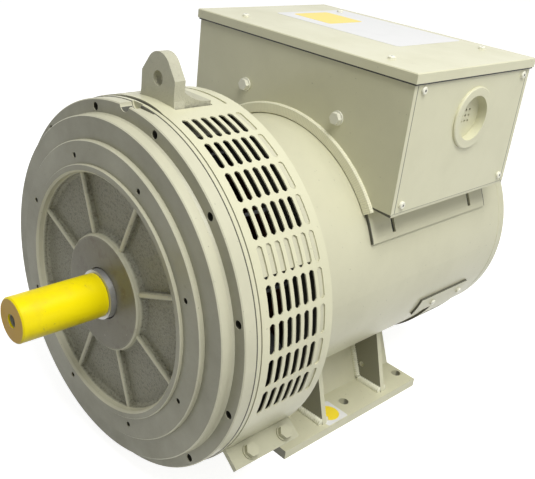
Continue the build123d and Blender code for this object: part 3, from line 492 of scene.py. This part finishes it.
for node_name, node in nodes.items():
    dress(node, FINISHES[SLOT_OF[node_name]])
dress(nodes["lifting_lug"], raw_cast_paint("raw_cast_paint", darker(STONE_CAST, 0.85)))
for node_name in ("nde_bracket", "nde_bearing_cap"):
    dress(nodes[node_name], FINISHES["machine_paint"])
band_finish = band_paint("band_paint", STONE_SHEET)
for node_name in ("air_screen", "screen_lower", "screen_bolts"):
    dress(nodes[node_name], band_finish)
dress(nodes["inlet_guard"], guard_paint("guard_paint", STONE))
foot_finish = foot_paint("foot_paint", STONE)
for node_name in ("foot_right", "foot_left"):
    dress(nodes[node_name], foot_finish)
dress(nodes["spacer_ring"], spacer_paint("spacer_paint", STONE))
panel = panel_paint("panel_paint", STONE_SHEET, FACE_Y + BOX_MIDDLE, PANEL_HALF_Y,
                    PANEL_MIDDLE_Z, PANEL_HALF_Z)
for node_name in ("box_side_right", "box_side_left"):
    dress(nodes[node_name], panel)
dress(nodes["side_screws"],
      socket_screws("side_screw_zinc", BOLT, 0, SIDE_SCREWS_MIDDLE, SIDE_SCREWS_HALF))
dress(nodes["lid_screws"],
      socket_screws("lid_screw_zinc", BOLT, 2, LID_SCREWS_MIDDLE, LID_SCREWS_HALF))

# Folded and sawn edges are never quite sharp.
for node_name in ("box_lid", "box_front", "box_rear", "foot_right", "foot_left", "lifting_lug"):
    soften = nodes[node_name].modifiers.new("soft_edges", "BEVEL")
    soften.width = 0.0009
    soften.segments = 2
    soften.limit_method = "ANGLE"
    soften.angle_limit = math.radians(50)


def add_piece(name, verts, faces, material, body, slot):
    """A new mesh piece that rides on a body; the slot argument is not used."""
    mesh = bpy.data.meshes.new(name)
    mesh.from_pydata(verts, [], faces)
    mesh.update()
    obj = bpy.data.objects.new(name, mesh)
    bpy.context.scene.collection.objects.link(obj)
    dress(obj, material)
    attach(obj, body)
    return obj


def slab(outline, z, thick):
    """A closed flat plate with that outline, standing on height z."""
    n = len(outline)
    verts = [(x, y, z) for x, y in outline] + [(x, y, z + thick) for x, y in outline]
    faces = [tuple(reversed(range(n))), tuple(range(n, 2 * n))]
    faces += [(i, (i + 1) % n, n + (i + 1) % n, n + i) for i in range(n)]
    return verts, faces


def rounded(x0, x1, y0, y1, r, steps=6):
    """Outline of a rectangle with round corners."""
    points = []
    corners = ((x1 - r, y1 - r, 0), (x0 + r, y1 - r, 90), (x0 + r, y0 + r, 180), (x1 - r, y0 + r, 270))
    for cx, cy, start in corners:
        for k in range(steps + 1):
            a = math.radians(start + 90 * k / steps)
            points.append((cx + r * math.cos(a), cy + r * math.sin(a)))
    return points


def on_frame(side, radius, angle, y):
    """A point at that radius and angle about the shaft line, y behind the flange face."""
    return (side * radius * math.cos(angle), FACE_Y + y, SHAFT_Z + radius * math.sin(angle))


def saddle(name, side):
    """Plate that hugs the stator frame below the box, with its two slots and the box's ledge."""
    rows = [SADDLE_LOW, *SADDLE_SLOT, *SADDLE_TOP]
    cols = [BOX_FRONT]
    for middle in SADDLE_SLOT_YS:
        cols += [middle - SADDLE_SLOT_HALF, middle + SADDLE_SLOT_HALF]
    cols.append(BOX_BACK)
    bm = bmesh.new()
    grid = [[bm.verts.new(on_frame(side, SADDLE_R, angle, y)) for y in cols] for angle in rows]
    for i in range(len(rows) - 1):
        for j in range(len(cols) - 1):
            if i == 1 and j in (1, 3):
                continue
            bm.faces.new((grid[i][j], grid[i][j + 1], grid[i + 1][j + 1], grid[i + 1][j]))
    edge = [bm.verts.new((side * BOX_LEDGE_X, FACE_Y + y, SHAFT_Z + BOX_LEDGE_Z)) for y in cols]
    for j in range(len(cols) - 1):
        bm.faces.new((grid[-1][j], grid[-1][j + 1], edge[j + 1], edge[j]))
    bmesh.ops.recalc_face_normals(bm, faces=bm.faces)
    if bm.faces[:][0].normal.x * side < 0:
        bmesh.ops.reverse_faces(bm, faces=bm.faces)
    mesh = bpy.data.meshes.new(name)
    bm.to_mesh(mesh)
    bm.free()
    obj = bpy.data.objects.new(name, mesh)
    bpy.context.scene.collection.objects.link(obj)
    wall = obj.modifiers.new("wall", "SOLIDIFY")
    wall.thickness = SADDLE_WALL
    wall.offset = 1.0
    low_z = SHAFT_Z + SADDLE_R * math.sin(SADDLE_LOW)
    dress(obj, saddle_paint(name + "_paint", STONE, FACE_Y + BOX_MIDDLE, BOX_HALF, low_z))
    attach(obj, "housing")
    return obj


def slot_shade_sheets(name, side):
    """Black sheets under the saddle's slots: painted shade in the slots."""
    verts, faces = [], []
    for middle in SADDLE_SLOT_YS:
        for y in (middle - SADDLE_SLOT_MARGIN_Y, middle + SADDLE_SLOT_MARGIN_Y):
            for angle in (SADDLE_SLOT[0] - SADDLE_SLOT_MARGIN_A, sum(SADDLE_SLOT) / 2,
                          SADDLE_SLOT[1] + SADDLE_SLOT_MARGIN_A):
                verts.append(on_frame(side, SADDLE_SLOT_FLOOR_R, angle, y))
    for k in (0, 6):
        faces += [(k, k + 1, k + 4, k + 3), (k + 1, k + 2, k + 5, k + 4)]
    return add_piece(name, verts, faces, FINISHES["board_black"], "housing", "board_black")


def bead(start, end, radius, sides=8, pitch=0.0042):
    """Vertices and faces of one rippled weld bead between two points."""
    start, end = Vector(start), Vector(end)
    along = (end - start).normalized()
    across = along.orthogonal().normalized()
    third = along.cross(across)
    count = max(4, int((end - start).length / pitch * 4))
    verts, faces = [], []
    for i in range(count + 1):
        ripple = 1.0 + 0.16 * math.cos(math.pi * i / 2)
        taper = 0.55 if i in (0, count) else 1.0
        centre = start.lerp(end, i / count)
        for k in range(sides):
            a = math.tau * k / sides
            verts.append(centre + (across * math.cos(a) + third * math.sin(a)) * radius * ripple * taper)
    for i in range(count):
        for k in range(sides):
            n = (k + 1) % sides
            faces.append((i * sides + k, i * sides + n, (i + 1) * sides + n, (i + 1) * sides + k))
    faces.append(tuple(reversed(range(sides))))
    faces.append(tuple(range(count * sides, count * sides + sides)))
    return verts, faces


def weld_lines(side):
    """Beads of one foot: gusset to plate, gusset to web on both faces, web to frame."""
    lines = []
    for middle in GUSSET_YS:
        for face in (middle - GUSSET_HALF, middle + GUSSET_HALF):
            y = FACE_Y + face
            for (x0, z0), (x1, z1), radius in (FOOT_WELD, WEB_WELD):
                lines.append(((side * x0, y, z0), (side * x1, y, z1), radius))
    x, z, radius = FRAME_WELD
    start, end = [(side * x, y, z) for y in from_face(FOOT_ENDS)]
    lines.append((start, end, radius))
    return lines


def add_welds(name, side, material):
    """All the beads of one foot as one piece."""
    verts, faces = [], []
    for start, end, radius in weld_lines(side):
        more_verts, more_faces = bead(start, end, radius)
        faces += [tuple(i + len(verts) for i in face) for face in more_faces]
        verts += more_verts
    obj = add_piece(name, verts, faces, material, "housing", "machine_paint")
    for polygon in obj.data.polygons:
        polygon.use_smooth = True


bead_paint = weld_paint("weld_paint", WELD)
add_welds("welds_right", 1, bead_paint)
add_welds("welds_left", -1, bead_paint)

right_saddle = saddle("saddle_right", 1)
saddle("saddle_left", -1)
# Black sheets in the saddle's slots: painted shade.
slot_shade_sheets("saddle_slot_shade_right", 1)
slot_shade_sheets("saddle_slot_shade_left", -1)
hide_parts("box_saddle")


def lid_shadow_strip():
    """Black strip that shows as a line below the lid's lip: painted shadow under the lip."""
    x_in, x_out = 0.2322, 0.2345
    y_in, y_out = 0.1582, 0.1605
    z_low, z_high = 0.6128, 0.6160
    corners = [(-1, -1), (1, -1), (1, 1), (-1, 1)]
    verts = []
    for z in (z_low, z_high):
        verts += [(sx * x_in, FACE_Y + BOX_MIDDLE + sy * y_in, z) for sx, sy in corners]
        verts += [(sx * x_out, FACE_Y + BOX_MIDDLE + sy * y_out, z) for sx, sy in corners]
    faces = []
    for k in range(4):
        n = (k + 1) % 4
        faces += [(4 + k, 4 + n, 12 + n, 12 + k), (n, k, 8 + k, 8 + n),
                  (k, n, 4 + n, 4 + k), (8 + n, 8 + k, 12 + k, 12 + n)]
    add_piece("lid_shadow_strip", verts, faces, FINISHES["board_black"], "housing", "board_black")


lid_shadow_strip()

# ------------------------------------------------------------ blank labels
film_white = label_film("label_white", LABEL_WHITE)
film_yellow = label_film("label_yellow", LABEL_YELLOW)

sheet = rounded(-0.175, 0.103, FACE_Y + 0.440, FACE_Y + 0.618, 0.008)
add_piece("lid_label", *slab(sheet, LID_TOP, 0.0004), film_white, "housing", "sheet_paint")
patch = rounded(-0.160, -0.070, FACE_Y + 0.470, FACE_Y + 0.560, 0.006)
add_piece("lid_label_patch", *slab(patch, LID_TOP + 0.0004, 0.0002), film_yellow, "housing", "sleeve_yellow")
tag = rounded(0.150, 0.200, FACE_Y + 0.300, FACE_Y + 0.350, 0.003)
add_piece("foot_label", *slab(tag, FOOT_TOP, 0.0004), film_white, "housing", "sheet_paint")
spot = rounded(0.1555, 0.1945, FACE_Y + 0.3055, FACE_Y + 0.3445, 0.0194, 10)
add_piece("foot_label_spot", *slab(spot, FOOT_TOP + 0.0004, 0.0002), film_yellow, "housing", "sleeve_yellow")


# ------------------------------------------------------------ camera, light, floor
def camera_axes(azimuth, elevation, roll):
    """Right, up and back of a camera turned by those angles in degrees."""
    az, el, r = (math.radians(v) for v in (azimuth, elevation, roll))
    back = Vector((math.sin(az) * math.cos(el), -math.cos(az) * math.cos(el), math.sin(el)))
    right = Vector((0, 0, 1)).cross(back).normalized()
    up = back.cross(right)
    tilted_right = right * math.cos(r) + up * math.sin(r)
    tilted_up = up * math.cos(r) - right * math.sin(r)
    return tilted_right, tilted_up, back


def add_camera():
    camera = bpy.data.objects.new("Camera", bpy.data.cameras.new("Camera"))
    bpy.context.scene.collection.objects.link(camera)
    camera.data.lens = CAMERA_LENS
    camera.data.sensor_width = SENSOR
    right, up, back = camera_axes(CAMERA_AZIMUTH, CAMERA_ELEVATION, CAMERA_ROLL)
    turn = Matrix((right, up, back)).transposed().to_4x4()
    camera.matrix_world = Matrix.Translation(CAMERA_AT) @ turn
    bpy.context.scene.camera = camera


def area_light(name, at, towards, size, power):
    """A white round lamp that looks at a point."""
    data = bpy.data.lights.new(name, "AREA")
    data.shape = "DISK"
    data.size = size
    data.energy = power
    lamp = bpy.data.objects.new(name, data)
    bpy.context.scene.collection.objects.link(lamp)
    lamp.location = at
    lamp.rotation_mode = "QUATERNION"
    lamp.rotation_quaternion = (Vector(towards) - Vector(at)).to_track_quat("-Z", "Y")


def seen_directly(nodes_, links):
    """1 for camera, glossy and transmission rays, 0 for the light that falls on surfaces."""
    path = nodes_.new("ShaderNodeLightPath")
    total = path.outputs["Is Camera Ray"]
    for kind in ("Is Glossy Ray", "Is Transmission Ray"):
        either = nodes_.new("ShaderNodeMath")
        either.operation = "MAXIMUM"
        links.new(total, either.inputs[0])
        links.new(path.outputs[kind], either.inputs[1])
        total = either.outputs[0]
    return total


def add_floor():
    """Pale floor that shows white and keeps the object's shadow."""
    bpy.ops.mesh.primitive_plane_add(size=30, location=(0, 0, 0))
    floor = bpy.context.object
    floor.name = "floor"
    g = Graph("floor")
    g.bsdf.inputs["Base Color"].default_value = (0.50, 0.50, 0.49, 1)
    g.bsdf.inputs["Roughness"].default_value = 0.9
    glow = g.nodes.new("ShaderNodeEmission")
    glow.inputs["Strength"].default_value = 0.86
    add = g.nodes.new("ShaderNodeAddShader")
    g.links.new(g.bsdf.outputs[0], add.inputs[0])
    g.links.new(glow.outputs[0], add.inputs[1])
    pick = g.nodes.new("ShaderNodeMixShader")
    g.links.new(seen_directly(g.nodes, g.links), pick.inputs[0])
    g.links.new(g.bsdf.outputs[0], pick.inputs[1])
    g.links.new(add.outputs[0], pick.inputs[2])
    g.links.new(pick.outputs[0], g.nodes["Material Output"].inputs["Surface"])
    dress(floor, g.material)


def set_world(strength):
    """Soft white light all round, with a plain white background behind."""
    world = bpy.data.worlds.new("studio")
    bpy.context.scene.world = world
    world.use_nodes = True
    tree = world.node_tree
    light = tree.nodes["Background"]
    light.inputs["Color"].default_value = (1.0, 1.0, 1.0, 1)
    light.inputs["Strength"].default_value = strength
    white = tree.nodes.new("ShaderNodeBackground")
    white.inputs["Color"].default_value = (1, 1, 1, 1)
    white.inputs["Strength"].default_value = 1.0
    pick = tree.nodes.new("ShaderNodeMixShader")
    tree.links.new(seen_directly(tree.nodes, tree.links), pick.inputs[0])
    tree.links.new(light.outputs[0], pick.inputs[1])
    tree.links.new(white.outputs[0], pick.inputs[2])
    tree.links.new(pick.outputs[0], tree.nodes["World Output"].inputs["Surface"])


add_camera()
add_floor()
set_world(0.22)
area_light("key", (1.25, -0.35, 2.85), (0, 0, 0.3), 1.9, 86)
area_light("right", (2.4, 0.0, 0.12), (0, 0, 0.40), 1.8, 12)
area_light("front", (-0.8, -2.4, 1.0), (0, -0.3, 0.3), 1.8, 3)

bpy.context.scene.view_settings.view_transform = "Standard"
